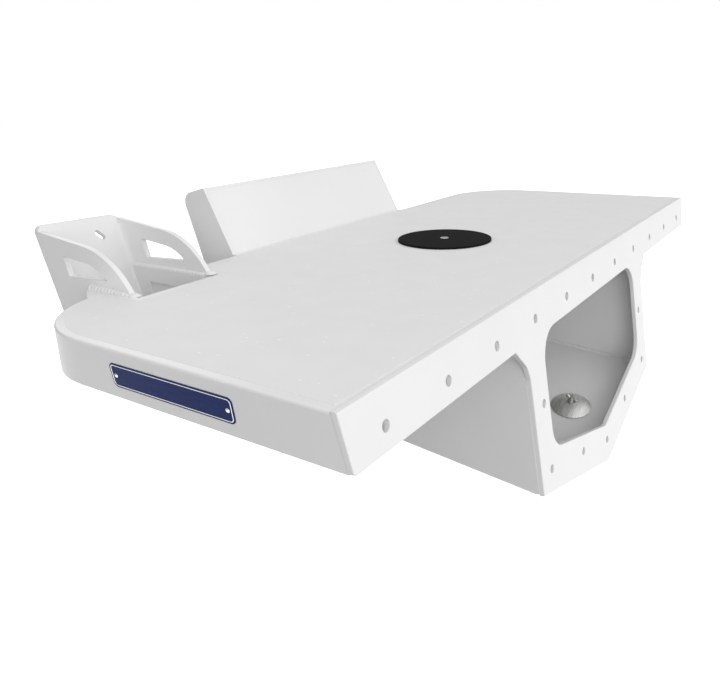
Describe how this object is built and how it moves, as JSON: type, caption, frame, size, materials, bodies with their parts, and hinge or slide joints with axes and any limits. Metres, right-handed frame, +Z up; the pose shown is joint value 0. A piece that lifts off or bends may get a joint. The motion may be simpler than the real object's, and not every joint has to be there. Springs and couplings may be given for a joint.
{
  "type": "outboard motor bracket with swim platform",
  "caption": "Welded aluminium transom bracket with a swim platform, an open V-bottom tub, a leaning motor block, an auxiliary motor mount, a deck hatch and an inspection dome.",
  "frame": {"origin": "on the transom face, on the centreline, 60 mm down the rake from the deck's top edge", "axes": "+X to port across the boat, +Y aft, +Z up, square to the deck"},
  "size_m": [1.5244, 0.8424, 0.5256],
  "materials": {
    "white_powder_coat": "gloss white powder coat on aluminium",
    "white_non_skid": "fine textured non-skid white coat",
    "black_hatch_plastic": "textured matt black",
    "black_rubber": "matt",
    "stainless_steel": "satin",
    "brushed_stainless": "brushed, scratched",
    "bare_aluminium": "mill",
    "blue_name_plate": "gloss dark blue"
  },
  "bodies": {
    "bracket": {"aft_skirt_inboard": "white_powder_coat", "aft_skirt_port": "white_powder_coat", "block_front_plate": "white_powder_coat", "block_top_plate": "white_powder_coat", "block_web_port": "white_powder_coat", "block_web_starboard": "white_powder_coat", "deck_plate": "white_non_skid", "engine_backing_plate": "white_powder_coat", "engine_plate": "white_powder_coat", "hatch_bush": "stainless_steel", "hatch_crossbar": "white_powder_coat", "hatch_ring": "white_powder_coat", "kicker_gusset_port": "white_powder_coat", "kicker_gusset_starboard": "white_powder_coat", "kicker_plate": "white_powder_coat", "kicker_well": "white_powder_coat", "name_plate": "blue_name_plate", "name_plate_rivets": "stainless_steel", "port_bridge": "bare_aluminium", "port_corner_skirt": "white_powder_coat", "port_side_skirt": "white_powder_coat", "port_stud": "stainless_steel", "starboard_corner_skirt": "white_powder_coat", "starboard_side_skirt": "white_powder_coat", "stringer_port_aft": "white_powder_coat", "stringer_port_forward": "white_powder_coat", "stringer_starboard_aft": "white_powder_coat", "stringer_starboard_forward": "white_powder_coat", "transom_flange": "white_powder_coat", "tub_port_bottom": "white_powder_coat", "tub_port_side": "white_powder_coat", "tub_starboard_bottom": "white_powder_coat", "tub_starboard_side": "white_powder_coat"},
    "hatch_cover": {"hatch_cover": "black_hatch_plastic", "hatch_gasket": "black_rubber"},
    "hatch_bolt": {"hatch_bolt": "stainless_steel"},
    "port_dome": {"port_dome": "brushed_stainless", "port_gasket": "black_rubber", "port_washer": "stainless_steel"},
    "port_wing_nut": {"port_wing_nut": "stainless_steel"}
  },
  "joints": [
    {"name": "hatch_lift", "type": "slide", "parent": "bracket", "child": "hatch_cover", "axis": [0, 0, 1], "range_m": [0, 0.02]},
    {"name": "hatch_bolt_turn", "type": "hinge", "parent": "hatch_cover", "child": "hatch_bolt", "pos_m": [0, 0.3074, 0.05918], "axis": [0, 0, 1], "range_deg": [0, 5761]},
    {"name": "port_dome_lift", "type": "slide", "parent": "bracket", "child": "port_dome", "axis": [-0.2482, -0.0945, 0.9641], "range_m": [0, 0.015]},
    {"name": "wing_nut_turn", "type": "hinge", "parent": "port_dome", "child": "port_wing_nut", "pos_m": [0.104, 0.0569, -0.29514], "axis": [-0.2482, -0.0945, 0.9641], "range_deg": [0, 5401]}
  ],
  "couplings": [
    {"joint": "hatch_bolt_turn", "follows": "hatch_lift", "rad_per_m": 5026.5},
    {"joint": "wing_nut_turn", "follows": "port_dome_lift", "rad_per_m": 6283.2}
  ]
}
